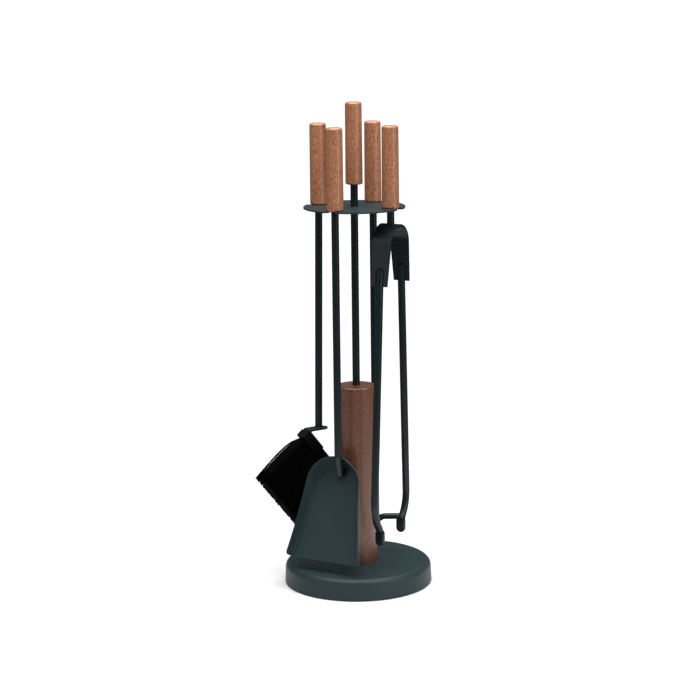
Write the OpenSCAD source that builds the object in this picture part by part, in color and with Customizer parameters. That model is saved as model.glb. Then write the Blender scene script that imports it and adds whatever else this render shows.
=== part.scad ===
// Fireplace tool set: a weighted round stand with a centre rod and a rack plate,
// and four tools that hang in the plate's open slots: brush, shovel, poker and tongs.
// Origin: centre of the base's underside. +Z is up. The tools hang on the axes:
// tongs at +X, poker at +Y, brush at -X and shovel at -Y.

/* [Base] */
// Outside radius of the base at the floor
base_r = 100.4; // [96:0.2:115]
// Height of the base at its centre
base_h = 29.6; // [26:0.2:34]
// Wall of the pressed base shell
base_wall = 1.6; // [1.2:0.1:2]
// Thickness of the felt disc under the base
felt_t = 2; // [1.5:0.5:3]

/* [Column] */
// Radius of the turned column
column_r = 26.8; // [24:0.2:32]
// Height of the column's top above the floor
column_top = 273.5; // [240:0.5:300]

/* [Rods and handles] */
// Diameter of every rod
rod_d = 10; // [8:0.5:10]
// Diameter of the studs that the handles are glued on
stud_d = 6; // [5:0.5:6]
// Length of those studs
stud_l = 32; // [25:1:40]
// Length of a handle
handle_l = 108.6; // [100:0.2:115]
// Radius of a handle at its lower end
handle_r = 11.5; // [10.5:0.1:12]
// Radius of a handle at its upper end
handle_top_r = 11.1; // [10:0.1:11.5]
// Height of the stand handle's lower end above the floor
stand_handle_z = 545.6; // [540:0.2:560]

/* [Rack] */
// Radius of the rack plate
plate_r = 67.9; // [66:0.1:75]
// Height of the rack plate's top above the floor
plate_z = 516.2; // [500:0.2:530]
// Thickness of the rack plate
plate_t = 2; // [1.5:0.5:3]
// Distance of the hanging tools from the centre
hang_r = 54; // [52:0.5:56]
// Width of the slots that the tools hang in
slot_w = 11.4; // [10.8:0.1:12]

/* [Brush] */
// Turn of the brush head about its rod, counted from +X
brush_turn = 62.1; // [58:0.1:66]
// Slope of the brush head's back below the horizontal
brush_slope = 50.7; // [48:0.1:54]
// Length of the wooden block
block_l = 93.5; // [84:0.5:97]
// Length of the bristles
bristle_l = 83; // [70:1:84]

/* [Shovel] */
// Distance from the rod's end down to the pan's lip
pan_lip = 117.5; // [110:0.5:118]
// Lean of the pan's floor from the vertical
pan_lean = 18.3; // [16:0.1:20]
// Height of the pan's wall at the lip
pan_wall_lip = 13; // [10:0.5:14]
// Height of the pan's wall at the back
pan_wall_back = 19; // [15:0.5:20]
// Thickness of the pan's sheet
pan_t = 1.2; // [1:0.1:1.5]

/* [Poker] */
// Height of the poker's tip above the floor
poker_tip_z = 58; // [45:1:60]
// Reach of the side prong from the rod's axis
prong_reach = 36; // [30:1:38]

/* [Tongs] */
// Mid radius of the spring strap's arch
arch_r = 26; // [25:0.5:27]
// Height of the arch's top above the floor
arch_top = 495.7; // [490:0.1:498]
// Width of the strap at the arch
strap_w = 27.4; // [26:0.2:30]
// Thickness of the strap
strap_t = 2.2; // [2:0.1:2.6]
// Sideways lean of the bent strap and legs
tongs_lean = 1; // [0:0.1:1.2]

/* [Hidden] */
$fn = 96;

rod_r = rod_d / 2;
fit = 0.05;                      // radial clearance of parts that are pressed or glued
rest_gap = 0.1;                  // the handles rest this far above the plate in the model
tool_z = plate_z + rest_gap;     // lower end of the hanging handles
eps = 0.01;
lap = 0.4;                       // straight bars run this far into a bend
bend_slim = 0.05;                // a bend is this much thinner in radius than its bar

// Finishes
steel_black = [0.20, 0.25, 0.26];
steel_plate = [0.33, 0.37, 0.38];
wood_handle = [0.65, 0.41, 0.27];
wood_column = [0.46, 0.30, 0.24];
iron_grey = [0.30, 0.30, 0.31];
zinc_grey = [0.62, 0.63, 0.65];
felt_black = [0.10, 0.10, 0.11];
bristle_black = [0.05, 0.05, 0.05];

// Base: shell, ballast and the fastening of the rod
shell_lift = 0.8;                // the shell's rim stays this far above the floor
base_top_r = base_r - 0.8;       // radius where the rim starts to turn in
rim_round = 8;
rim_drop = 0.3;                  // the top falls this much from the centre to the rim
flat_r = 32;                     // flat seat under the column
tie_d = 8;                       // threaded lower end of the stand rod
tie_z = 6;                       // lower end of the stand rod
ballast_z = felt_t + 0.1;        // the felt is glued under the ballast
ballast_gap = 0.4;
pocket_r = 14;                   // pocket for the nut and washer
washer_t = 1.6;
nut_h = 6.5;
nut_af = 13;                     // hexagon across flats

// Brush head, in the plane of the bent bracket
rod_foot_x = -57.9;              // where the brush rod meets its bracket
rod_foot_y = -2.06;
tab_z = 208.2;                   // middle of the bracket's flat tab
tab_t = 2;
tab_r = 9;                       // rounded end and half width of the tab
tab_over = 4;                    // the rounded end is centred this far past the rod
fold_x = -16.5;                  // centre of the fold, from the rod
fold_r = 0.8;
strap_back_l = 30;               // length of the bracket on the block's back
block_t = 12;
block_w = 18;
block_over = 4.5;                // the block starts this far above the fold
screw_at = [9, 22];              // screws along the bracket's back
screw_d = 3.5;
screw_floor = 3 - tab_t / 2 - block_t;  // bottom of the screw holes, from the bracket's middle

// Shovel pan outline: straight flared sides and a rounded back
pan_back_r = 32.4;
pan_back_h = 29.5;
pan_back_y = -17.1;
pan_flare = 0.18;                // widening of each side per length
pan_fold_r = 2.5;
pan_side_tilt = 16;              // the walls lean out this much at the lip
pan_back_tilt = 32;              // and this much at the back
pan_shift = -4.6;                // the rod is welded beside the pan's middle
pan_turn = -1.3;
pan_weld_z = 158;
pan_weld_in = 10.5;
lip_corner = 6;                  // length of the walls' rounded front corners
corner_fall = 0.8;               // the wall's height falls by this share of that length
side_steps = 8;
back_steps = 28;
fold_steps = 4;

// Shovel rod bend
shovel_bend = 15;
shovel_bend_r = 20;
rod_off_pan = 4.1;               // distance of the rod end's middle from the pan's floor

// Poker prong
prong_d = 8.5;
prong_z = 76;
prong_slope = 35;
prong_bend_r = 12;
prong_turn = 28;                 // direction of the prong, counted from +X
poker_point_l = 15;

// Tongs
splay = 7;                       // the strap's arms lean out by this angle
arm_end_z = 416;
arm_end_w = 23;
leg_slot_w = 12;
leg_slot_l = 25;
leg_top_z = 437.5;
leg_top_y = 30.7;
leg_bend_z = 125;
leg_bend_y = 46.5;
leg_bend_r = 50;
leg_bend_in = 36;                // the leg's end points inwards by this angle
leg_stub = 5;
pad_w = 13;
pad_h = 23;
pad_t = 6;
pad_y = 31;
pad_z = 80;
pad_round = 1.8;
pad_drop = 4;                    // the left pad hangs this much lower
pad_steps = 32;
pad_round_steps = 3;
hinge_gap = 0.3;                 // half the gap at the strap's flexing line
seam_d = strap_t - 0.1;          // rounded edge in that gap
rivet_in = 3;                    // length of the rod's end below the strap

// Points of an arc about [cx, cy]
function arc_pts(cx, cy, r, a0, a1, n) =
    [for (i = [0:n]) let (a = a0 + (a1 - a0) * i / n) [cx + r * cos(a), cy + r * sin(a)]];

// ---------- Shared pieces ----------

// Turned handle with a blind bore for the rod's stud, standing on z = 0
module handle() {
    low = 2.2;
    high = 3;
    color(wood_handle) difference() {
        rotate_extrude() polygon(concat(
            [[0, 0]],
            arc_pts(handle_r - low, low, low, -90, 0, 5),
            arc_pts(handle_top_r - high, handle_l - high, high, 0, 90, 6),
            [[0, handle_l]]));
        translate([0, 0, -1]) cylinder(h = stud_l + 3, d = stud_d + 2 * fit);
    }
}

// Stud that enters a handle, from z = 0 upwards
module stud() {
    cylinder(h = stud_l, d = stud_d);
}

// A bend of a round bar: starts at the origin heading down, turns towards +Y.
// It is a hair thinner than the straight stretches, which run a little way into it.
module bend(r, bend_r, angle) {
    translate([0, bend_r, 0]) rotate([-90, 0, 0]) rotate([0, 90, 0])
        rotate_extrude(angle = angle) translate([bend_r, 0]) circle(r - bend_slim);
}

// A straight stretch of bar from z = 0 up, run a little into the bends at its ends
module bar(l, d, under = 0, over = 0) {
    translate([0, 0, -under]) cylinder(h = l + under + over, d = d);
}

// Carries its children to where that bend ends, heading down the bar
module after_bend(bend_r, angle) {
    translate([0, bend_r * (1 - cos(angle)), -bend_r * sin(angle)])
        rotate([angle, 0, 0]) children();
}

// Places a hanging tool in the slot at the angle
module hung_at(angle) {
    translate([hang_r * cos(angle), hang_r * sin(angle), 0]) children();
}

// ---------- Stand ----------

module base_outline(inset) {
    top = base_h - inset;
    rim = base_top_r - inset;
    round_r = rim_round - inset / 2;
    polygon(concat(
        [[0, 0], [base_r - inset, 0]],
        arc_pts(rim - round_r, top - rim_drop - round_r, round_r, 0, 90, 8),
        [[flat_r, top], [0, top]]));
}

module base_shell() {
    color(steel_black) difference() {
        rotate_extrude() difference() {
            base_outline(0);
            base_outline(base_wall);
            square([base_r * 2, 2 * shell_lift], center = true);
        }
        translate([0, 0, base_h - 2 * base_wall])
            cylinder(h = 3 * base_wall, d = tie_d + 4 * fit);
    }
}

module base_ballast() {
    r = base_top_r - base_wall - rim_round - 2;
    h = base_h - base_wall - rim_drop - ballast_gap;
    seat = base_h - base_wall - ballast_gap;
    color(iron_grey) difference() {
        union() {
            translate([0, 0, ballast_z]) cylinder(h = h - ballast_z, r = r);
            translate([0, 0, ballast_z]) cylinder(h = seat - ballast_z, r = flat_r - 2);
        }
        translate([0, 0, -1]) cylinder(h = base_h, d = tie_d + 4 * fit);
        translate([0, 0, -1]) cylinder(h = tie_z + nut_h + washer_t + 1, r = pocket_r);
    }
}

module base_felt() {
    color(felt_black) cylinder(h = felt_t, r = base_r - base_wall - 1.4);
}

module base_washer() {
    color(zinc_grey) translate([0, 0, tie_z + nut_h]) difference() {
        cylinder(h = washer_t, r = pocket_r - 2);
        translate([0, 0, -1]) cylinder(h = washer_t + 2, d = tie_d + 4 * fit);
    }
}

module base_nut() {
    color(zinc_grey) translate([0, 0, tie_z]) difference() {
        cylinder(h = nut_h, r = nut_af / 2 / cos(30), $fn = 6);
        translate([0, 0, -1]) cylinder(h = nut_h + 2, d = tie_d + 2 * fit);
    }
}

module column() {
    e = 1.6;
    color(wood_column) difference() {
        rotate_extrude() polygon(concat(
            [[0, base_h], [column_r - 0.5, base_h], [column_r, base_h + 0.5]],
            arc_pts(column_r - e, column_top - e, e, 0, 90, 6),
            [[0, column_top]]));
        translate([0, 0, base_h - 1]) cylinder(h = column_top, d = rod_d + 4 * fit);
    }
}

module stand_rod() {
    color(steel_black) {
        translate([0, 0, tie_z]) cylinder(h = base_h - tie_z + eps, d = tie_d);
        translate([0, 0, base_h]) cylinder(h = stand_handle_z - base_h, d = rod_d);
        translate([0, 0, stand_handle_z - eps]) stud();
    }
}

module rack_plate() {
    mouth = 2.5;                 // the slots open out at the rim
    color(steel_plate) translate([0, 0, plate_z - plate_t]) linear_extrude(plate_t)
        difference() {
            circle(plate_r);
            circle(d = rod_d + 4 * fit);
            for (a = [0, 90, 180, 270]) rotate(a) {
                translate([hang_r, 0]) circle(d = slot_w);
                translate([hang_r, -slot_w / 2]) square([plate_r, slot_w]);
                polygon([
                    [plate_r - 2 * mouth, -slot_w / 2], [plate_r + 1, -slot_w / 2 - mouth],
                    [plate_r + 1, slot_w / 2 + mouth], [plate_r - 2 * mouth, slot_w / 2]]);
            }
        }
}

module rack_collar() {
    h = 6;
    color(steel_black) translate([0, 0, plate_z - plate_t - h]) difference() {
        cylinder(h = h, d = rod_d + 8);
        translate([0, 0, -1]) cylinder(h = h + 2, d = rod_d + 2 * fit);
    }
}

module stand_handle() {
    translate([0, 0, stand_handle_z]) handle();
}

// ---------- Brush ----------

// The plane of the brush head: +X runs from the fold to the rod
module brush_plane() {
    translate([rod_foot_x, rod_foot_y, 0]) rotate([0, 0, brush_turn]) children();
}

// Along the block's back: +X runs down the block, -Z points to the bristle tips
module brush_back() {
    mid = fold_r + tab_t / 2;
    brush_plane()
        translate([fold_x - mid * sin(brush_slope), 0, tab_z - mid - mid * cos(brush_slope)])
        rotate([0, brush_slope, 0]) children();
}

module brush_handle() {
    hung_at(180) translate([0, 0, tool_z]) handle();
}

module brush_rod() {
    run = norm([rod_foot_x + hang_r, rod_foot_y]);
    drop = tool_z - tab_z - tab_t / 2;
    lean = atan(run / drop);
    lean_turn = atan2(rod_foot_y, rod_foot_x + hang_r);
    color(steel_black) hung_at(180) translate([0, 0, tool_z]) {
        stud();
        rotate([0, 0, lean_turn]) rotate([0, -lean, 0])
            translate([0, 0, -drop / cos(lean)]) cylinder(h = drop / cos(lean), d = rod_d);
    }
}

module brush_bracket() {
    mid = fold_r + tab_t / 2;
    turn = 180 - brush_slope;
    color(steel_black) {
        brush_plane() {
            translate([0, 0, tab_z - tab_t / 2]) linear_extrude(tab_t) {
                translate([tab_over, 0]) circle(tab_r);
                translate([fold_x, -tab_r]) square([tab_over - fold_x, 2 * tab_r]);
            }
            translate([fold_x, tab_r, tab_z - mid]) rotate([90, 0, 0])
                rotate([0, 0, 90]) rotate_extrude(angle = turn)
                    translate([fold_r, 0]) square([tab_t, 2 * tab_r]);
        }
        brush_back() difference() {
            translate([-eps, -tab_r, -tab_t / 2]) cube([strap_back_l, 2 * tab_r, tab_t]);
            for (s = screw_at) translate([s, 0, -tab_t]) cylinder(h = 2 * tab_t, d = screw_d + 2 * fit);
        }
    }
}

// Bead of weld round the rod's foot on the bracket
module brush_weld() {
    bead = 1.8;
    color(steel_black) brush_plane() translate([0, 0, tab_z + tab_t / 2])
        rotate_extrude() polygon([
            [rod_r + fit, 0.02], [rod_r + bead, 0.02], [rod_r + bead / 3, bead / 3],
            [rod_r + fit, bead]]);
}

module brush_block() {
    e = 3;
    color(bristle_black) brush_back() difference() {
        translate([-block_over, 0, -tab_t / 2]) rotate([0, 90, 0]) linear_extrude(block_l)
            translate([0, -block_w / 2]) {
                translate([0, e]) square([block_t, block_w - 2 * e]);
                square([block_t - e, block_w]);
                for (y = [e, block_w - e]) translate([block_t - e, y]) circle(e);
            }
        for (s = screw_at) translate([s, 0, screw_floor])
            cylinder(h = block_t, d = screw_d + 2 * fit);
    }
}

// Closed outer shape of the bristle pack, wider at the tips
module brush_bristles() {
    root_z = -tab_t / 2 - block_t;
    end_x = block_l - block_over;
    bulge = 0.28;                // share of the length at which the pack has spread out
    rings = [                    // lowest x, highest x, half width and height
        [0.5, end_x - 1.5, block_w / 2 - 1.5, root_z],
        [-7.5, end_x + 1.5, block_w / 2 + 1.5, root_z - bulge * bristle_l],
        [-8, end_x + 3.5, block_w / 2 + 3.5, root_z - bristle_l]];
    pts = [for (r = rings) each [[r[0], -r[2], r[3]], [r[1], -r[2], r[3]],
                                 [r[1], r[2], r[3]], [r[0], r[2], r[3]]]];
    sides = [for (k = [0, 4], i = [0:3]) let (j = (i + 1) % 4) [k + i, k + j, k + 4 + j, k + 4 + i]];
    color(bristle_black) brush_back() polyhedron(pts, concat([[3, 2, 1, 0], [8, 9, 10, 11]], sides));
}

// Two round-head wood screws
module brush_screws() {
    head_d = 7;
    head_h = 2;
    dome_r = 4.4;
    tip_z = screw_floor + 0.2;
    color(zinc_grey) brush_back() for (s = screw_at) translate([s, 0, 0]) {
        translate([0, 0, tab_t / 2]) intersection() {
            cylinder(h = head_h, d = head_d);
            translate([0, 0, 1.9 - dome_r]) sphere(dome_r);
        }
        translate([0, 0, tip_z]) cylinder(h = tab_t / 2 + 1 - tip_z, d = screw_d);
    }
}

// ---------- Shovel ----------

// The pan's own plane: origin where the rod is welded, +Y up the floor, +Z out of it
module pan_plane() {
    hung_at(270) translate([0, pan_weld_in, pan_weld_z])
        rotate([90 - pan_lean, 0, 0]) rotate([0, 0, pan_turn]) children();
}

// The outline of the pan's floor at the fold, from the lip's left end round to its right end
back_join = atan(pan_flare * pan_back_h / pan_back_r);
join_x = pan_back_r * cos(back_join);
join_y = pan_back_y + pan_back_h * sin(back_join);
lip_x = join_x + pan_flare * (join_y + pan_lip);
pan_length = pan_lip + pan_back_y + pan_back_h;
side_l = join_y + pan_lip;
side_at = concat([for (k = [0:3]) lip_corner * k / 4],
    [for (i = [0:side_steps]) lip_corner + (side_l - lip_corner) * i / side_steps]);
side_n = len(side_at) - 1;
pan_side = [for (d = side_at) [lip_x + (join_x - lip_x) * d / side_l, d - pan_lip]];
pan_path = concat(
    [for (p = pan_side) [-p[0], p[1]]],
    [for (i = [1:back_steps - 1])
        let (a = 180 - back_join - (180 - 2 * back_join) * i / back_steps)
        [pan_back_r * cos(a), pan_back_y + pan_back_h * sin(a)]],
    [for (i = [side_n:-1:0]) pan_side[i]]);
pan_n = len(pan_path);

function pan_out(i) =
    let (p = pan_path[max(0, i - 1)], q = pan_path[min(pan_n - 1, i + 1)], d = q - p)
    [-d[1], d[0]] / norm(d);
function pan_rise(i) = (pan_path[i][1] + pan_lip) / pan_length;
function pan_tilt(i) = pan_side_tilt + (pan_back_tilt - pan_side_tilt) * pow(pan_rise(i), 3);
// The wall's front corners are rounded off
function pan_cut(i) = let (d = max(0, lip_corner - pan_path[i][1] - pan_lip))
    lip_corner - sqrt(lip_corner * lip_corner - d * d);
function pan_wall(i) =
    pan_wall_lip + (pan_wall_back - pan_wall_lip) * pow(pan_rise(i), 2) - corner_fall * pan_cut(i);
// A point at the outline's point i, so far out of it and so high above the floor
function pan_at(i, out, up) =
    let (p = pan_path[i] + pan_out(i) * out) [p[0], p[1], up];

// Section through the wall: the rounded fold's inside, the edge, and back along its outside
function pan_section(i) =
    let (tilt = pan_tilt(i), wall = pan_wall(i), turn = 90 - tilt,
         back = pan_fold_r * tan(turn / 2))
    concat(
        [for (k = [0:fold_steps]) let (a = turn * k / fold_steps)
            pan_at(i, -back + pan_fold_r * sin(a), pan_fold_r * (1 - cos(a)))],
        [pan_at(i, wall * sin(tilt), wall * cos(tilt)),
         pan_at(i, wall * sin(tilt) + pan_t * cos(tilt), wall * cos(tilt) - pan_t * sin(tilt))],
        [for (k = [fold_steps:-1:0]) let (a = turn * k / fold_steps, r = pan_fold_r + pan_t)
            pan_at(i, -back + r * sin(a), pan_fold_r - r * cos(a))]);

module shovel_pan() {
    m = 2 * fold_steps + 4;
    pts = [for (i = [0:pan_n - 1]) each pan_section(i)];
    strips = [for (i = [0:pan_n - 2], j = [0:m - 2])
        each [[i * m + j, i * m + j + 1, (i + 1) * m + j],
              [(i + 1) * m + j, i * m + j + 1, (i + 1) * m + j + 1]]];
    floor_tris = [for (i = [0:floor(pan_n / 2) - 1]) let (o = pan_n - 1 - i)
        each concat([[i, i + 1, o]], i + 1 < o - 1 ? [[i + 1, o - 1, o]] : [])];
    floor_top = [for (t = floor_tris) [t[0] * m, t[1] * m, t[2] * m]];
    floor_under = [for (t = floor_tris) [t[2] * m + m - 1, t[1] * m + m - 1, t[0] * m + m - 1]];
    end_left = [for (j = [m - 1:-1:0]) j];
    end_right = [for (j = [0:m - 1]) (pan_n - 1) * m + j];
    lip = [0, (pan_n - 1) * m, (pan_n - 1) * m + m - 1, m - 1];
    color(steel_black) pan_plane() translate([pan_shift, 0, 0])
        polyhedron(pts, concat(strips, floor_top, floor_under, [end_left, end_right, lip]));
}

module shovel_handle() {
    hung_at(270) translate([0, 0, tool_z]) handle();
}

module shovel_rod() {
    end_in = pan_weld_in - rod_off_pan * cos(pan_lean);
    end_z = pan_weld_z + rod_off_pan * sin(pan_lean);
    last_l = (end_in - shovel_bend_r * (1 - cos(shovel_bend))) / sin(shovel_bend);
    bend_z = end_z + last_l * cos(shovel_bend) + shovel_bend_r * sin(shovel_bend);
    color(steel_black) hung_at(270) {
        translate([0, 0, tool_z]) stud();
        translate([0, 0, bend_z]) {
            bar(tool_z - bend_z, rod_d, under = lap);
            bend(rod_r, shovel_bend_r, shovel_bend);
            after_bend(shovel_bend_r, shovel_bend)
                translate([0, 0, -last_l]) bar(last_l, rod_d, over = lap);
        }
    }
}

// Bead of weld round the rod's end on the pan's floor
module shovel_weld() {
    bead = 2.4;
    color(steel_black) pan_plane() translate([0, 1.5, 0]) rotate_extrude() polygon([
        [0, 0.02], [rod_r + bead, 0.02], [rod_r + bead / 2, bead / 2], [rod_r, bead], [0, bead]]);
}

// ---------- Poker ----------

module poker_handle() {
    hung_at(90) translate([0, 0, tool_z]) handle();
}

module poker_rod() {
    color(steel_black) hung_at(90) {
        translate([0, 0, tool_z]) stud();
        translate([0, 0, poker_tip_z + poker_point_l])
            cylinder(h = tool_z - poker_tip_z - poker_point_l, d = rod_d);
        translate([0, 0, poker_tip_z]) cylinder(h = poker_point_l, r1 = 1.2, r2 = rod_r);
    }
}

// Side prong: rises from the rod, then runs out level
module poker_prong() {
    r = prong_d / 2;
    rise = 4.3;                  // height of the sloping stretch
    bend_out = prong_bend_r * sin(prong_slope);
    bend_up = prong_bend_r * (1 - cos(prong_slope));
    slope_l = rise / sin(prong_slope);
    level_x = slope_l * cos(prong_slope) + bend_out;
    color(steel_black) hung_at(90) rotate([0, 0, prong_turn]) {
        translate([level_x, 0, prong_z]) {
            rotate([0, 90, 0]) bar(prong_reach - level_x - r, prong_d, under = lap);
            translate([prong_reach - level_x - r, 0, 0]) sphere(r);
            rotate([-90, 0, 0]) rotate([0, 90, 0]) bend(r, prong_bend_r, prong_slope);
        }
        translate([level_x - bend_out, 0, prong_z - bend_up]) rotate([0, 90 - prong_slope, 0])
            translate([0, 0, -slope_l]) bar(slope_l, prong_d, over = lap);
    }
}

module poker_weld() {
    below = 5.4;                 // the bead's middle is this far under the level stretch
    half_h = 3;
    flat_h = 1.2;
    bead = 1.6;
    color(steel_black) hung_at(90) rotate([0, 0, prong_turn])
        translate([0, 0, prong_z - below]) rotate_extrude() polygon([
            [rod_r + fit, -half_h], [rod_r + bead, -flat_h], [rod_r + bead, flat_h],
            [rod_r + fit, half_h]]);
}

// ---------- Tongs ----------

arch_z = arch_top - arch_r - strap_t / 2;          // centre of the arch
arch_end_y = arch_r * cos(splay);
arch_end_z = arch_z + arch_r * sin(splay);
arm_l = (arch_end_z - arm_end_z) / cos(splay);
leg_splay = atan((leg_bend_y - leg_top_y) / (leg_top_z - leg_bend_z));

// The strap and legs lean a little about the top of the arch
module tongs_frame() {
    hung_at(0) translate([0, 0, arch_top]) rotate([-tongs_lean, 0, 0])
        translate([0, 0, -arch_top]) children();
}

// side = -1 is the left half, at -Y; side = 1 is the right half, at +Y
module tongs_half(side) {
    tongs_frame() {
        if (side > 0) mirror([0, 1, 0]) children();
        else children();
    }
}

// An arm's own plane on the left half: origin on the flexing line, -Z down the arm
module arm_plane() {
    translate([0, -arch_end_y, arch_end_z]) rotate([-splay, 0, 0]) children();
}

module tongs_handle() {
    hung_at(0) translate([0, 0, tool_z]) handle();
}

module tongs_rod() {
    color(steel_black) hung_at(0) {
        translate([0, 0, tool_z]) stud();
        translate([0, 0, arch_top]) cylinder(h = tool_z - arch_top, d = rod_d);
        translate([0, 0, arch_top - strap_t - rivet_in])
            cylinder(h = strap_t + rivet_in + eps, d = stud_d);
    }
}

module tongs_crown() {
    gap = hinge_gap / arch_r * 180 / PI;
    color(steel_black) tongs_frame() difference() {
        translate([-strap_w / 2, 0, arch_z]) rotate([90, 0, 90])
            rotate([0, 0, splay + gap]) rotate_extrude(angle = 180 - 2 * (splay + gap))
                translate([arch_r - strap_t / 2, 0]) square([strap_t, strap_w]);
        translate([0, 0, arch_z]) cylinder(h = arch_r * 2, d = stud_d + 4 * fit);
        for (s = [-1, 1]) translate([0, s * arch_end_y, arch_end_z]) rotate([0, 90, 0])
            cylinder(h = strap_w + 2, d = seam_d + 0.06, center = true);
    }
}

// Riveted head of the rod under the arch
module tongs_rivet() {
    h = 3;
    cap = 1;
    small_r = 5;
    large_r = 6.5;
    color(steel_black) hung_at(0)
        translate([0, 0, arch_top - strap_t - rivet_in - cap]) difference() {
            cylinder(h = h, r1 = small_r, r2 = large_r);
            translate([0, 0, cap]) cylinder(h = h, d = stud_d + 2 * fit);
        }
}

// Outline of the slot at an arm's end, above the end's edge
module leg_slot(inset) {
    r = leg_slot_w / 2 - inset;
    translate([0, leg_slot_l - leg_slot_w / 2]) circle(r);
    translate([-r, 0]) square([2 * r, leg_slot_l - leg_slot_w / 2]);
}

// The arm's upper edge is rounded and sits in a groove of the arch
module arm(side) {
    color(steel_black) tongs_half(side) arm_plane() {
        translate([0, strap_t / 2, 0]) rotate([90, 0, 0]) linear_extrude(strap_t)
            difference() {
                polygon([
                    [-strap_w / 2, -hinge_gap], [strap_w / 2, -hinge_gap],
                    [arm_end_w / 2, -arm_l], [-arm_end_w / 2, -arm_l]]);
                translate([0, -arm_l]) leg_slot(0);
                translate([-leg_slot_w / 2, -arm_l - 1]) square([leg_slot_w, 2]);
            }
        rotate([0, 90, 0]) cylinder(h = strap_w - 2 * fit, d = seam_d, center = true);
    }
}

// A leg: straight and splayed, then bent inwards to the gripping pad
module leg(side) {
    straight_l = (leg_top_z - leg_bend_z) / cos(leg_splay);
    stub = side < 0 ? leg_stub + pad_drop - 1 : leg_stub;
    color(steel_black) tongs_half(side) translate([0, -leg_bend_y, leg_bend_z])
        rotate([-leg_splay, 0, 0]) {
            bar(straight_l, rod_d, under = lap);
            bend(rod_r, leg_bend_r, leg_bend_in + leg_splay);
            after_bend(leg_bend_r, leg_bend_in + leg_splay)
                translate([0, 0, -stub]) bar(stub, rod_d, over = lap);
        }
}

// Weld that fills the slot round the leg's end
module leg_weld(side) {
    t = 1.6;
    half = rod_r + fit;
    end = (leg_top_z - arm_end_z) / cos(splay) + 2 * fit;
    color(steel_black) tongs_half(side) arm_plane() translate([0, t / 2, -arm_l])
        rotate([90, 0, 0]) linear_extrude(t) difference() {
            leg_slot(fit);
            translate([-half, -1]) square([2 * half, end + 1]);
        }
}

// Outline of an upright oval, inset by so much, as points round it
function oval(w, h, inset, z) =
    [for (i = [0:pad_steps - 1]) let (a = 360 * (i + 0.5) / pad_steps, r = w / 2 - inset)
        [r * cos(a), r * sin(a) + sign(sin(a)) * (h - w) / 2, z]];

// A gripping pad: an upright oval with flat faces and rounded edges
module foot(side) {
    n = pad_steps;
    round_a = [for (k = [0:pad_round_steps]) 90 * k / pad_round_steps];
    rings = concat(
        [for (a = round_a) oval(pad_w, pad_h, pad_round * (1 - sin(a)),
            -pad_t / 2 + pad_round * (1 - cos(a)))],
        [for (a = [for (k = [pad_round_steps:-1:0]) round_a[k]])
            oval(pad_w, pad_h, pad_round * (1 - sin(a)), pad_t / 2 - pad_round * (1 - cos(a)))]);
    m = len(rings);
    walls = [for (k = [0:m - 2], i = [0:n - 1]) let (j = (i + 1) % n)
        each [[k * n + i, (k + 1) * n + i, k * n + j],
              [k * n + j, (k + 1) * n + i, (k + 1) * n + j]]];
    z = side < 0 ? pad_z - pad_drop : pad_z;
    color(steel_black) tongs_half(side) translate([0, -pad_y, z]) rotate([90, 0, 0])
        polyhedron([for (r = rings) each r], concat(walls,
            [[for (i = [0:n - 1]) i], [for (i = [n - 1:-1:0]) (m - 1) * n + i]]));
}

module tongs_arm_left() arm(-1);
module tongs_arm_right() arm(1);
module tongs_leg_left() leg(-1);
module tongs_leg_right() leg(1);
module tongs_weld_left() leg_weld(-1);
module tongs_weld_right() leg_weld(1);
module tongs_foot_left() foot(-1);
module tongs_foot_right() foot(1);

base_shell();
base_ballast();
base_felt();
base_washer();
base_nut();
column();
stand_rod();
rack_plate();
rack_collar();
stand_handle();
brush_handle();
brush_rod();
brush_bracket();
brush_block();
brush_bristles();
brush_screws();
brush_weld();
shovel_handle();
shovel_rod();
shovel_pan();
shovel_weld();
poker_handle();
poker_rod();
poker_prong();
poker_weld();
tongs_handle();
tongs_rod();
tongs_crown();
tongs_rivet();
tongs_arm_left();
tongs_arm_right();
tongs_leg_left();
tongs_leg_right();
tongs_weld_left();
tongs_weld_right();
tongs_foot_left();
tongs_foot_right();
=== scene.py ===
"""Looks of a fireplace tool set: a weighted stand and its brush, shovel, poker and tongs."""

import logging
import math
import random
from dataclasses import dataclass
from enum import Enum

import bmesh
import bpy
from mathutils import Matrix, Vector


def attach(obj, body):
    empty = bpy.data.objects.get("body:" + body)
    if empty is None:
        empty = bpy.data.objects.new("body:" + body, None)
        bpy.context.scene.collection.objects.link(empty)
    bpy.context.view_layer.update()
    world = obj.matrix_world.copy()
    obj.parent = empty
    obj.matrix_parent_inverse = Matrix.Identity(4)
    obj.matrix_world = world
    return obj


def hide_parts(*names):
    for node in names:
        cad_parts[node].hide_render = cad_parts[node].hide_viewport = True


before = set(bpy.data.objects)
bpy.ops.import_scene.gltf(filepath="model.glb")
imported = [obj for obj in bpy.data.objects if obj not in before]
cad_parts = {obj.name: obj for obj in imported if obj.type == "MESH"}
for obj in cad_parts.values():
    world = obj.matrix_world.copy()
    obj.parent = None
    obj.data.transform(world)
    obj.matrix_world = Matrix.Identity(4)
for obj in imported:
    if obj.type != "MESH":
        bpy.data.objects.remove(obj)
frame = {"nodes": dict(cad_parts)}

LOG = logging.getLogger("fireplace_tool_set")
MM = 0.001
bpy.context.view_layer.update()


def linear(colour: str) -> tuple[float, float, float, float]:
    """Turns an sRGB hex colour into linear light.

    Args:
        colour: Six hex digits after a hash sign.

    Returns:
        Red, green, blue and an alpha of 1.
    """
    parts = [int(colour[i : i + 2], 16) / 255 for i in (1, 3, 5)]
    r, g, b = [c / 12.92 if c <= 0.04045 else ((c + 0.055) / 1.055) ** 2.4 for c in parts]
    return r, g, b, 1.0


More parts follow.
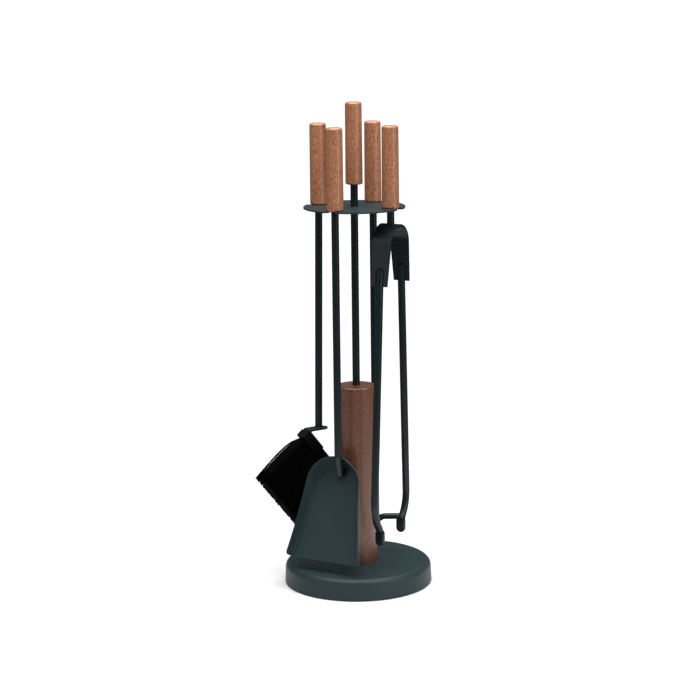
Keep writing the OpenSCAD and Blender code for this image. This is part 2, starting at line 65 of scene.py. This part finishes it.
def add_node(tree: bpy.types.NodeTree, kind: str, inputs: dict | None = None,
             **settings: object) -> bpy.types.Node:
    """Adds a node to a tree, sets it up and links it.

    Args:
        tree: The node tree it goes in.
        kind: The node's type name.
        inputs: Its input sockets' values by name or number; a socket as the value is linked.
        settings: Attributes to set on the node.

    Returns:
        The new node.
    """
    node = tree.nodes.new(kind)
    for name, value in settings.items():
        setattr(node, name, value)
    for name, value in (inputs or {}).items():
        if isinstance(value, bpy.types.NodeSocket):
            tree.links.new(value, node.inputs[name])
        else:
            node.inputs[name].default_value = value
    return node


def per_metre(*sizes_mm: float) -> tuple[float, ...]:
    """Pattern scales for features of these sizes in millimetres."""
    return tuple(1000 / s for s in sizes_mm)


class Finish:
    """A finish: makes its material once and puts it on objects."""

    name: str = ""

    def dress(self, *objects: bpy.types.Object) -> None:
        """Puts this finish on each object.

        Args:
            objects: The objects that wear it.
        """
        material = bpy.data.materials.get(self.name) or self.make()
        for obj in objects:
            if obj.material_slots:
                for slot in obj.material_slots:
                    slot.link = "OBJECT"
                    slot.material = material
            else:
                obj.data.materials.append(material)

    def make(self) -> bpy.types.Material:
        """Makes the material from this finish's nodes.

        Returns:
            The material.
        """
        material = bpy.data.materials.new(self.name)
        material.use_nodes = True
        tree = material.node_tree
        tree.nodes.clear()
        place = add_node(tree, "ShaderNodeTexCoord").outputs["Object"]
        shader = self.surface(tree, place)
        add_node(tree, "ShaderNodeOutputMaterial", {"Surface": shader.outputs["BSDF"]})
        return material

    def surface(self, tree: bpy.types.NodeTree, place: bpy.types.NodeSocket) -> bpy.types.Node:
        """Builds the surface shader.

        Args:
            tree: The material's node tree.
            place: Coordinates in metres.

        Returns:
            The shader node.
        """
        raise NotImplementedError


@dataclass(frozen=True)
class PowderCoat(Finish):
    """Polyester powder coat on steel, sprayed dry and baked.

    The eye sees a deep grey-green black with a satin gloss and a fine orange peel.
    """

    name: str = "polyester_powder_coat"
    shade: str = "#1C2B2D"
    pale_shade: str = "#243437"
    cloud_mm: float = 55.0
    peel_mm: float = 2.2  # the real peel is about 1 mm, drawn coarser so that it shows
    peel_depth_mm: float = 0.02
    roughness: tuple[float, float] = (0.40, 0.54)
    gloss: float = 0.22
    peel_strength: float = 0.5

    def surface(self, tree: bpy.types.NodeTree, place: bpy.types.NodeSocket) -> bpy.types.Node:
        """Builds the coat's satin surface.

        Args:
            tree: The material's node tree.
            place: Coordinates in metres.

        Returns:
            The shader node.
        """
        cloud = add_node(tree, "ShaderNodeTexNoise",
                         {"Vector": place, "Scale": per_metre(self.cloud_mm)[0], "Detail": 3.0})
        peel = add_node(tree, "ShaderNodeTexNoise",
                        {"Vector": place, "Scale": per_metre(self.peel_mm)[0], "Detail": 2.0})
        colour = add_node(tree, "ShaderNodeMix", {0: cloud.outputs["Fac"], 6: linear(self.shade),
                                                  7: linear(self.pale_shade)}, data_type="RGBA")
        rough = add_node(tree, "ShaderNodeMapRange",
                         {"Value": peel.outputs["Fac"], "From Min": 0.3, "From Max": 0.7,
                          "To Min": self.roughness[0], "To Max": self.roughness[1]})
        bump = add_node(tree, "ShaderNodeBump", {"Height": peel.outputs["Fac"],
                                                 "Strength": self.peel_strength,
                                                 "Distance": self.peel_depth_mm * MM})
        return add_node(tree, "ShaderNodeBsdfPrincipled",
                        {"Base Color": colour.outputs[2], "Roughness": rough.outputs["Result"],
                         "Normal": bump.outputs["Normal"], "IOR": 1.5,
                         "Specular IOR Level": self.gloss})


@dataclass(frozen=True)
class StainedBeech(Finish):
    """Beech, turned, stained and sprayed with satin lacquer.

    The eye sees short ray flecks along the grain, paler and darker than the stained wood,
    under a soft gloss that glints where the flecks stand.
    """

    name: str = "stained_beech"
    wood: str = "#A9714E"
    dark_fleck: str = "#683A20"
    pale_fleck: str = "#CF9663"
    band: str = "#915B42"
    fleck_mm: tuple[float, float] = (1.2, 2.6)  # width and length; real flecks are half as wide
    band_mm: tuple[float, float] = (9.0, 60.0)
    pore_depth_mm: float = 0.06
    dark_share: float = 0.8
    pale_share: float = 0.9
    roughness: tuple[float, float] = (0.34, 0.48)
    lacquer: float = 0.35

    def surface(self, tree: bpy.types.NodeTree, place: bpy.types.NodeSocket) -> bpy.types.Node:
        """Builds the flecked and lacquered wood.

        Args:
            tree: The material's node tree.
            place: Coordinates in metres.

        Returns:
            The shader node.
        """
        across, along = per_metre(*self.fleck_mm)
        fleck_place = add_node(tree, "ShaderNodeMapping", {"Vector": place, "Scale": (across, across, along)})
        fleck = add_node(tree, "ShaderNodeTexNoise",
                         {"Vector": fleck_place.outputs["Vector"], "Scale": 1.0, "Detail": 2.0,
                          "Roughness": 0.55, "Distortion": 0.4})
        across, along = per_metre(*self.band_mm)
        band_place = add_node(tree, "ShaderNodeMapping", {"Vector": place, "Scale": (across, across, along)})
        band = add_node(tree, "ShaderNodeTexNoise",
                        {"Vector": band_place.outputs["Vector"], "Scale": 1.0, "Detail": 3.0})
        stain = add_node(tree, "ShaderNodeMix", {0: band.outputs["Fac"], 6: linear(self.wood),
                                                 7: linear(self.band)}, data_type="RGBA")
        dark = add_node(tree, "ShaderNodeMapRange",
                        {"Value": fleck.outputs["Fac"], "From Min": 0.46, "From Max": 0.34,
                         "To Min": 0.0, "To Max": self.dark_share})
        pale = add_node(tree, "ShaderNodeMapRange",
                        {"Value": fleck.outputs["Fac"], "From Min": 0.55, "From Max": 0.68,
                         "To Min": 0.0, "To Max": self.pale_share})
        darker = add_node(tree, "ShaderNodeMix", {0: dark.outputs["Result"], 6: stain.outputs[2],
                                                  7: linear(self.dark_fleck)}, data_type="RGBA")
        colour = add_node(tree, "ShaderNodeMix", {0: pale.outputs["Result"], 6: darker.outputs[2],
                                                  7: linear(self.pale_fleck)}, data_type="RGBA")
        rough = add_node(tree, "ShaderNodeMapRange",
                         {"Value": fleck.outputs["Fac"], "From Min": 0.3, "From Max": 0.7,
                          "To Min": self.roughness[1], "To Max": self.roughness[0]})
        bump = add_node(tree, "ShaderNodeBump", {"Height": fleck.outputs["Fac"], "Strength": 0.6,
                                                 "Distance": self.pore_depth_mm * MM})
        return add_node(tree, "ShaderNodeBsdfPrincipled",
                        {"Base Color": colour.outputs[2], "Roughness": rough.outputs["Result"],
                         "Normal": bump.outputs["Normal"], "IOR": 1.5,
                         "Coat Weight": self.lacquer, "Coat Roughness": 0.3})


@dataclass(frozen=True)
class CastIron(Finish):
    """Grey iron cast in sand. The eye sees a dull dark grey skin with a sandy grain."""

    name: str = "sand_cast_iron"
    skin: str = "#4A4A4C"
    rust: str = "#5A4A42"
    sand_mm: float = 1.2
    sand_depth_mm: float = 0.15
    roughness: tuple[float, float] = (0.6, 0.85)
    bare_metal: float = 0.6
    patch_mm: float = 18.0

    def surface(self, tree: bpy.types.NodeTree, place: bpy.types.NodeSocket) -> bpy.types.Node:
        """Builds the sandy metal skin.

        Args:
            tree: The material's node tree.
            place: Coordinates in metres.

        Returns:
            The shader node.
        """
        sand = add_node(tree, "ShaderNodeTexNoise",
                        {"Vector": place, "Scale": per_metre(self.sand_mm)[0], "Detail": 4.0})
        patch = add_node(tree, "ShaderNodeTexNoise",
                         {"Vector": place, "Scale": per_metre(self.patch_mm)[0], "Detail": 3.0})
        colour = add_node(tree, "ShaderNodeMix", {0: patch.outputs["Fac"], 6: linear(self.skin),
                                                  7: linear(self.rust)}, data_type="RGBA")
        bump = add_node(tree, "ShaderNodeBump", {"Height": sand.outputs["Fac"], "Strength": 0.8,
                                                 "Distance": self.sand_depth_mm * MM})
        rough = add_node(tree, "ShaderNodeMapRange", {"Value": sand.outputs["Fac"],
                                                      "To Min": self.roughness[0],
                                                      "To Max": self.roughness[1]})
        return add_node(tree, "ShaderNodeBsdfPrincipled",
                        {"Base Color": colour.outputs[2], "Metallic": self.bare_metal,
                         "Roughness": rough.outputs["Result"], "Normal": bump.outputs["Normal"]})


@dataclass(frozen=True)
class ZincPlate(Finish):
    """Zinc plated on steel and passivated. The eye sees a cool pale metal with faint mottling."""

    name: str = "zinc_plate"
    metal: str = "#C9CCD0"
    mottle: str = "#AEB3B4"
    mottle_mm: float = 1.6
    roughness: tuple[float, float] = (0.25, 0.42)

    def surface(self, tree: bpy.types.NodeTree, place: bpy.types.NodeSocket) -> bpy.types.Node:
        """Builds the mottled metal.

        Args:
            tree: The material's node tree.
            place: Coordinates in metres.

        Returns:
            The shader node.
        """
        mottle = add_node(tree, "ShaderNodeTexNoise",
                          {"Vector": place, "Scale": per_metre(self.mottle_mm)[0], "Detail": 3.0})
        colour = add_node(tree, "ShaderNodeMix", {0: mottle.outputs["Fac"], 6: linear(self.metal),
                                                  7: linear(self.mottle)}, data_type="RGBA")
        rough = add_node(tree, "ShaderNodeMapRange", {"Value": mottle.outputs["Fac"],
                                                      "To Min": self.roughness[0],
                                                      "To Max": self.roughness[1]})
        return add_node(tree, "ShaderNodeBsdfPrincipled",
                        {"Base Color": colour.outputs[2], "Metallic": 1.0,
                         "Roughness": rough.outputs["Result"]})


@dataclass(frozen=True)
class PressedFelt(Finish):
    """Wool felt, pressed from loose fibres. The eye sees a dull black nap with pale stray hairs."""

    name: str = "pressed_wool_felt"
    wool: str = "#1A1A1C"
    hair: str = "#34343A"
    hair_mm: tuple[float, float] = (0.8, 5.0)  # the real hairs are finer and wouldn't show
    hair_turns: tuple[float, float] = (0.5, 1.9)
    nap_depth_mm: float = 0.2
    roughness: float = 0.95
    sheen: float = 0.3

    def surface(self, tree: bpy.types.NodeTree, place: bpy.types.NodeSocket) -> bpy.types.Node:
        """Builds the matted fibres.

        Args:
            tree: The material's node tree.
            place: Coordinates in metres.

        Returns:
            The shader node.
        """
        thin, long = per_metre(*self.hair_mm)
        hairs = [
            add_node(tree, "ShaderNodeTexNoise",
                     {"Vector": add_node(tree, "ShaderNodeMapping",
                                         {"Vector": place, "Rotation": (0.0, 0.0, turn),
                                          "Scale": (thin, long, thin)}).outputs["Vector"],
                      "Scale": 1.0, "Detail": 2.0})
            for turn in self.hair_turns
        ]
        mat = add_node(tree, "ShaderNodeMath", {0: hairs[0].outputs["Fac"], 1: hairs[1].outputs["Fac"]},
                       operation="MAXIMUM")
        share = add_node(tree, "ShaderNodeMapRange", {"Value": mat.outputs[0], "From Min": 0.5,
                                                      "From Max": 0.75})
        colour = add_node(tree, "ShaderNodeMix", {0: share.outputs["Result"], 6: linear(self.wool),
                                                  7: linear(self.hair)}, data_type="RGBA")
        bump = add_node(tree, "ShaderNodeBump", {"Height": mat.outputs[0], "Strength": 0.9,
                                                 "Distance": self.nap_depth_mm * MM})
        return add_node(tree, "ShaderNodeBsdfPrincipled",
                        {"Base Color": colour.outputs[2], "Roughness": self.roughness,
                         "Sheen Weight": self.sheen, "Normal": bump.outputs["Normal"]})


@dataclass(frozen=True)
class BristleFibre(Finish):
    """Black polypropylene filament, drawn and cut. The eye sees near-black threads with a dull gloss."""

    name: str = "polypropylene_filament"
    fibre: str = "#010101"
    worn: str = "#030303"
    streak_mm: float = 4.0
    roughness: float = 0.55
    gloss: float = 0.03

    def surface(self, tree: bpy.types.NodeTree, place: bpy.types.NodeSocket) -> bpy.types.Node:
        """Builds the filaments' surface.

        Args:
            tree: The material's node tree.
            place: Coordinates in metres.

        Returns:
            The shader node.
        """
        streak = add_node(tree, "ShaderNodeTexNoise",
                          {"Vector": place, "Scale": per_metre(self.streak_mm)[0], "Detail": 2.0})
        colour = add_node(tree, "ShaderNodeMix", {0: streak.outputs["Fac"], 6: linear(self.fibre),
                                                  7: linear(self.worn)}, data_type="RGBA")
        return add_node(tree, "ShaderNodeBsdfPrincipled",
                        {"Base Color": colour.outputs[2], "Roughness": self.roughness, "IOR": 1.49,
                         "Specular IOR Level": self.gloss})


@dataclass(frozen=True)
class BlackPaint(Finish):
    """Matte black paint brushed on wood. The eye sees the grain's ridges faintly through it."""

    name: str = "black_paint_on_wood"
    paint: str = "#020202"
    thin_paint: str = "#050505"
    ridge_mm: tuple[float, float] = (1.4, 22.0)
    ridge_depth_mm: float = 0.1
    grain_slope: float = 50.0
    grain_turn: float = -62.0
    roughness: float = 0.6
    gloss: float = 0.1

    def surface(self, tree: bpy.types.NodeTree, place: bpy.types.NodeSocket) -> bpy.types.Node:
        """Builds the painted grain.

        Args:
            tree: The material's node tree.
            place: Coordinates in metres.

        Returns:
            The shader node.
        """
        fine, long = per_metre(*self.ridge_mm)
        turned = add_node(tree, "ShaderNodeMapping",
                          {"Vector": place, "Scale": (long, fine, fine),
                           "Rotation": (0.0, math.radians(self.grain_slope), math.radians(self.grain_turn))})
        ridge = add_node(tree, "ShaderNodeTexNoise",
                         {"Vector": turned.outputs["Vector"], "Scale": 1.0, "Detail": 3.0})
        colour = add_node(tree, "ShaderNodeMix", {0: ridge.outputs["Fac"], 6: linear(self.paint),
                                                  7: linear(self.thin_paint)}, data_type="RGBA")
        bump = add_node(tree, "ShaderNodeBump", {"Height": ridge.outputs["Fac"], "Strength": 0.5,
                                                 "Distance": self.ridge_depth_mm * MM})
        return add_node(tree, "ShaderNodeBsdfPrincipled",
                        {"Base Color": colour.outputs[2], "Roughness": self.roughness,
                         "Specular IOR Level": self.gloss, "Normal": bump.outputs["Normal"]})


POWDER_COAT = PowderCoat()
# Thin bars and straps: the same coat, its colour painted darker as painted shade because thin bars look
# darker than broad faces, and glossier
ROD_COAT_PAINTED_DARKER = PowderCoat(name="polyester_powder_coat_painted_darker_on_bar", shade="#0B1719", pale_shade="#111F21",
                      roughness=(0.24, 0.36), gloss=0.34)
# Weld beads: colour painted near black as painted shade in the gaps and corners around the welds
WELD_COAT_PAINTED_SHADE = PowderCoat(name="powder_coat_painted_shade_in_welds", shade="#090C0D", pale_shade="#0F1415",
                       roughness=(0.5, 0.65), gloss=0.25)
HANDLE_BEECH = StainedBeech(name="stained_beech_handles")
COLUMN_BEECH = StainedBeech(
    name="dark_stained_beech_column", wood="#6A3C24", dark_fleck="#3C2216", pale_fleck="#845640",
    band="#583222", fleck_mm=(1.2, 2.2), roughness=(0.3, 0.42), lacquer=0.6)


def new_object(name: str, mesh: bpy.types.Mesh) -> bpy.types.Object:
    """Makes an object for a mesh and puts it in the scene.

    Args:
        name: The object's name.
        mesh: Its mesh.

    Returns:
        The object.
    """
    obj = bpy.data.objects.new(name, mesh)
    bpy.context.scene.collection.objects.link(obj)
    return obj


@dataclass
class Stand:
    """The base with its ballast and felt, the column, rod, rack plate and handle."""

    felt_r: float = 97.4
    felt_t: float = 2.0
    felt_edge: float = 0.7
    felt_rings: int = 26
    felt_sides: int = 120
    nap: float = 0.12
    nap_below: float = 0.9  # the nap stands on all that lies under this share of the thickness
    edge_steps: int = 6
    upper_rings: int = 4
    seed: int = 11

    def felt(self) -> bpy.types.Object:
        """Makes the felt disc with its soft cut edge and uneven nap.

        Returns:
            The felt's object, in place of its plain disc.
        """
        rng = random.Random(self.seed)
        bm = bmesh.new()
        flat = self.felt_r - self.felt_edge
        lower = [(flat * i / self.felt_rings, 0.0) for i in range(1, self.felt_rings + 1)]
        edge = [(flat + self.felt_edge * math.sin(a), self.felt_t / 2 - (self.felt_t / 2) * math.cos(a))
                for a in (math.pi * k / self.edge_steps for k in range(1, self.edge_steps + 1))]
        upper = [(flat * i / self.upper_rings, self.felt_t) for i in range(self.upper_rings - 1, 0, -1)]
        rings = []
        for r, z in lower + edge + upper:
            ring = []
            for i in range(self.felt_sides):
                a = 2 * math.pi * i / self.felt_sides
                lift = rng.uniform(0, self.nap) if z < self.felt_t * self.nap_below else 0.0
                ring.append(bm.verts.new((r * math.cos(a) * MM, r * math.sin(a) * MM,
                                          min(z + lift, self.felt_t) * MM)))
            rings.append(ring)
        centre = [bm.verts.new((0, 0, 0)), bm.verts.new((0, 0, self.felt_t * MM))]
        n = self.felt_sides
        for i in range(n):
            j = (i + 1) % n
            bm.faces.new((centre[0], rings[0][j], rings[0][i]))
            bm.faces.new((centre[1], rings[-1][i], rings[-1][j]))
            for a, b in zip(rings, rings[1:]):
                bm.faces.new((a[i], a[j], b[j], b[i]))
        mesh = bpy.data.meshes.new("felt_disc")
        bm.to_mesh(mesh)
        bm.free()
        mesh.shade_smooth()
        disc = new_object("felt_disc", mesh)
        PressedFelt().dress(disc)
        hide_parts("base_felt")
        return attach(disc, "stand")

    def build(self, nodes: dict[str, bpy.types.Object]) -> None:
        """Dresses the stand's pieces and adds its felt.

        Args:
            nodes: The CAD nodes by name.
        """
        POWDER_COAT.dress(nodes["base_shell"], nodes["rack_plate"])
        ROD_COAT_PAINTED_DARKER.dress(nodes["stand_rod"], nodes["rack_collar"])
        CastIron().dress(nodes["base_ballast"])
        ZincPlate().dress(nodes["base_washer"], nodes["base_nut"])
        COLUMN_BEECH.dress(nodes["column"])
        HANDLE_BEECH.dress(nodes["stand_handle"])
        LOG.info("stand: shell, ballast, rod, plate, column and handle dressed, %s added", self.felt().name)


@dataclass
class HearthBrush:
    """The brush: handle, rod, bent bracket, painted block and its tufts of bristle."""

    rod_foot: tuple[float, float] = (-57.9, -2.06)
    turn: float = 62.1
    slope: float = 50.7
    tab_z: float = 208.2
    tab_t: float = 2.0
    fold_x: float = -16.5
    fold_r: float = 0.8
    block_t: float = 12.0
    bristle_l: float = 83.0
    root: tuple[float, float, float] = (-1.0, 86.5, 7.0)
    tip: tuple[float, float, float] = (-7.6, 92.5, 12.2)
    spread: float = 6.0  # how soon a filament has fanned out to its tip's place
    columns: int = 16
    rows: int = 4
    filaments: int = 36
    filament_r: float = 0.45
    tip_share: float = 0.88  # the cut end's thickness against the root's
    tuft_r: float = 1.52
    root_in: float = 0.4  # the filaments start this far inside the block
    overlap: tuple[float, float] = (0.9, 1.5)  # a tuft's reach at the tips along and across, in spacings
    margin: tuple[float, float] = (0.012, 0.03)  # shares of the pack's ends and sides left free
    trim: tuple[float, float, float] = (0.35, 1.2, 0.2)  # spread, most and least cut off a tip
    wobble: tuple[float, float] = (0.8, 0.5)
    flare: tuple[float, float] = (1.6, 0.6)
    thickness: tuple[float, float] = (0.8, 1.15)
    crowd: float = 1.6  # crowds a filament's rings towards its root
    bend: float = 1.6
    rings: int = 8
    seed: int = 7

    def back(self) -> Matrix:
        """Works out the frame of the block's back: +X down the block, -Z to the tips.

        Returns:
            The frame's matrix, in metres.
        """
        mid = self.fold_r + self.tab_t / 2
        slope = math.radians(self.slope)
        return (Matrix.Translation(Vector((self.rod_foot[0], self.rod_foot[1], 0)) * MM)
                @ Matrix.Rotation(math.radians(self.turn), 4, "Z")
                @ Matrix.Translation(Vector((self.fold_x - mid * math.sin(slope), 0,
                                             self.tab_z - mid - mid * math.cos(slope))) * MM)
                @ Matrix.Rotation(slope, 4, "Y"))

    def filament(self, bm: bmesh.types.BMesh, start: Vector, end: Vector, bow: Vector, r: float) -> None:
        """Adds one filament, a thin bowed thread with a cut tip.

        Args:
            bm: The mesh it goes in.
            start: Its root, in millimetres in the block's frame.
            end: Its tip.
            bow: How far its middle bows out.
            r: Its radius.
        """
        along = (end - start).normalized()
        side = along.orthogonal().normalized()
        other = along.cross(side)
        last = None
        for k in range(self.rings):
            t = (k / (self.rings - 1)) ** self.crowd
            fan = 1 - (1 - t) ** self.spread
            centre = Vector((start.x + (end.x - start.x) * fan, start.y + (end.y - start.y) * fan,
                             start.z + (end.z - start.z) * t)) + bow * (self.bend * t * (1 - t))
            thick = r * (1.0 if k < self.rings - 1 else self.tip_share)
            ring = [bm.verts.new((centre + side * (thick * math.cos(a)) + other * (thick * math.sin(a))) * MM)
                    for a in (0.0, 2 * math.pi / 3, 4 * math.pi / 3)]
            if last:
                for i in range(3):
                    bm.faces.new((last[i], last[(i + 1) % 3], ring[(i + 1) % 3], ring[i]))
            last = ring
        bm.faces.new(last)

    def tufts(self) -> bpy.types.Object:
        """Makes the bristles, tuft by tuft, fanned out from the block.

        Returns:
            The bristles' object, in place of their plain block.
        """
        rng = random.Random(self.seed)
        bm = bmesh.new()
        root_z = -self.tab_t / 2 - self.block_t
        for c in range(self.columns):
            for w in range(self.rows):
                u, v = (c + 0.5) / self.columns, (w + 0.5) / self.rows * 2 - 1
                hole = Vector((self.root[0] + (self.root[1] - self.root[0]) * u, self.root[2] * v,
                               root_z + self.root_in))
                for _ in range(self.filaments):
                    a, d = rng.uniform(0, 2 * math.pi), math.sqrt(rng.random())
                    start = hole + Vector((math.cos(a), math.sin(a), 0)) * (d * self.tuft_r)
                    uu = min(max(u + d * math.cos(a) / self.columns * self.overlap[0], self.margin[0]),
                             1 - self.margin[0])
                    vv = min(max(v + d * math.sin(a) / self.rows * self.overlap[1], self.margin[1] - 1),
                             1 - self.margin[1])
                    cut = min(abs(rng.gauss(0, self.trim[0])), self.trim[1]) + self.trim[2]
                    end = Vector((self.tip[0] + (self.tip[1] - self.tip[0]) * uu, self.tip[2] * vv,
                                  root_z - self.bristle_l + cut))
                    bow = Vector((rng.gauss(0, self.wobble[0]) + (uu - 0.5) * self.flare[0],
                                  rng.gauss(0, self.wobble[1]) + vv * self.flare[1], 0))
                    self.filament(bm, start, end, bow, self.filament_r * rng.uniform(*self.thickness))
        mesh = bpy.data.meshes.new("bristle_tufts")
        bm.to_mesh(mesh)
        bm.free()
        mesh.transform(self.back())
        mesh.shade_smooth()
        tufts = new_object("bristle_tufts", mesh)
        BristleFibre().dress(tufts)
        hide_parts("brush_bristles")
        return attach(tufts, "brush")

    def build(self, nodes: dict[str, bpy.types.Object]) -> None:
        """Dresses the brush's pieces and adds its bristles.

        Args:
            nodes: The CAD nodes by name.
        """
        HANDLE_BEECH.dress(nodes["brush_handle"])
        ROD_COAT_PAINTED_DARKER.dress(nodes["brush_rod"], nodes["brush_bracket"])
        WELD_COAT_PAINTED_SHADE.dress(nodes["brush_weld"])
        BlackPaint().dress(nodes["brush_block"])
        ZincPlate().dress(nodes["brush_screws"])
        LOG.info("brush: handle, rod, bracket, block and screws dressed, %s added", self.tufts().name)


@dataclass
class SteelTool:
    """A tool that is all coated steel below its wooden handle: shovel, poker or tongs."""

    name: str

    def build(self, nodes: dict[str, bpy.types.Object]) -> None:
        """Dresses the tool's pieces.

        Args:
            nodes: The CAD nodes by name.
        """
        own = {n: o for n, o in nodes.items() if n.startswith(self.name + "_")}
        for name, piece in own.items():
            if name.endswith("_handle"):
                finish = HANDLE_BEECH
            elif "_weld" in name:
                finish = WELD_COAT_PAINTED_SHADE
            elif name.endswith("_pan"):
                finish = POWDER_COAT
            else:
                finish = ROD_COAT_PAINTED_DARKER
            finish.dress(piece)
            LOG.info("%s: %s dressed in %s", self.name, name, finish.name)


class Softbox(Enum):
    """The studio's lights: position, width and height in metres and power in watts.

    Positions are seen from the camera: right, away and up from the object.
    """

    RIGHT = ((1.9, -1.5, 1.2), 0.5, 1.8, 24.0)
    LEFT = ((-2.1, -1.2, 1.0), 0.3, 1.6, 4.0)
    TOP = ((0.0, -0.2, 2.5), 2.6, 2.6, 150.0)


@dataclass
class Studio:
    """Camera, floor, lights and surroundings: metres, degrees, and the lens in millimetres."""

    azimuth: float = 28.0
    distance: float = 2.7431
    height: float = 0.8659
    pitch: float = 11.224
    yaw: float = -0.166
    roll: float = 0.670
    lens: float = 106.84
    sensor: float = 36.0
    clip_end: float = 200.0
    aim_height: float = 0.3
    floor_r: float = 1.3
    floor_sides: int = 96
    paper: str = "#DADADA"
    floor_fade: tuple[float, float] = (0.3, 1.1)
    surround: float = 0.12
    backdrop: float = 1.1

    def turned(self, x: float, y: float, z: float) -> Vector:
        """A place seen from the camera, as a place in the object's frame."""
        return Matrix.Rotation(math.radians(self.azimuth), 3, "Z") @ Vector((x, y, z))

    def camera(self) -> None:
        """Adds the camera."""
        data = bpy.data.cameras.new("camera")
        data.lens, data.sensor_width, data.sensor_fit = self.lens, self.sensor, "HORIZONTAL"
        data.clip_end = self.clip_end
        cam = bpy.data.objects.new("camera", data)
        bpy.context.scene.collection.objects.link(cam)
        cam.matrix_world = (
            Matrix.Translation(self.turned(0, -self.distance, self.height))
            @ Matrix.Rotation(math.radians(self.azimuth - self.yaw), 4, "Z")
            @ Matrix.Rotation(math.radians(90 - self.pitch), 4, "X")
            @ Matrix.Rotation(math.radians(-self.roll), 4, "Z"))
        bpy.context.scene.camera = cam

    def floor(self) -> None:
        """Adds the pale floor, which fades into the backdrop away from the object."""
        bm = bmesh.new()
        bmesh.ops.create_circle(bm, cap_ends=True, segments=self.floor_sides, radius=self.floor_r)
        mesh = bpy.data.meshes.new("floor")
        bm.to_mesh(mesh)
        bm.free()
        floor = new_object("floor", mesh)
        material = bpy.data.materials.new("matte_white_floor")
        material.use_nodes = True
        tree = material.node_tree
        tree.nodes.clear()
        place = add_node(tree, "ShaderNodeTexCoord").outputs["Object"]
        far = add_node(tree, "ShaderNodeVectorMath", {0: place}, operation="LENGTH")
        fade = add_node(tree, "ShaderNodeMapRange",
                        {"Value": far.outputs["Value"], "From Min": self.floor_fade[0],
                         "From Max": self.floor_fade[1]}, interpolation_type="SMOOTHSTEP")
        paper = add_node(tree, "ShaderNodeBsdfDiffuse", {"Color": linear(self.paper)})
        clear = add_node(tree, "ShaderNodeBsdfTransparent")
        mixed = add_node(tree, "ShaderNodeMixShader", {0: fade.outputs["Result"], 1: paper.outputs[0],
                                                       2: clear.outputs[0]})
        add_node(tree, "ShaderNodeOutputMaterial", {"Surface": mixed.outputs[0]})
        mesh.materials.append(material)

    def lights(self) -> None:
        """Adds the softboxes and the even surroundings."""
        for box in Softbox:
            place, width, height, power = box.value
            data = bpy.data.lights.new("softbox_" + box.name.lower(), "AREA")
            data.shape, data.size, data.size_y, data.energy = "RECTANGLE", width, height, power
            lamp = bpy.data.objects.new(data.name, data)
            bpy.context.scene.collection.objects.link(lamp)
            lamp.location = self.turned(*place)
            aim = Vector((0, 0, self.aim_height)) - lamp.location
            lamp.rotation_euler = aim.to_track_quat("-Z", "Y").to_euler()
        world = bpy.data.worlds.new("studio")
        bpy.context.scene.world = world
        world.use_nodes = True
        tree = world.node_tree
        tree.nodes.clear()
        seen = add_node(tree, "ShaderNodeLightPath").outputs["Is Camera Ray"]
        strength = add_node(tree, "ShaderNodeMapRange", {"Value": seen, "To Min": self.surround,
                                                         "To Max": self.backdrop})
        background = add_node(tree, "ShaderNodeBackground",
                              {"Color": (1.0, 1.0, 1.0, 1.0), "Strength": strength.outputs["Result"]})
        add_node(tree, "ShaderNodeOutputWorld", {"Surface": background.outputs[0]})

    def build(self) -> None:
        """Sets the studio up."""
        self.camera()
        self.floor()
        self.lights()
        bpy.context.scene.view_settings.view_transform = "Standard"
        LOG.info("studio: camera, floor and %d lights", len(Softbox))


def main() -> None:
    """Builds the studio and dresses the tool set, piece by piece."""
    logging.basicConfig(level=logging.INFO, format="%(name)s: %(message)s")
    nodes = frame["nodes"]
    Studio().build()
    Stand().build(nodes)
    HearthBrush().build(nodes)
    for name in ("shovel", "poker", "tongs"):
        SteelTool(name).build(nodes)


if __name__ == "__main__":
    main()
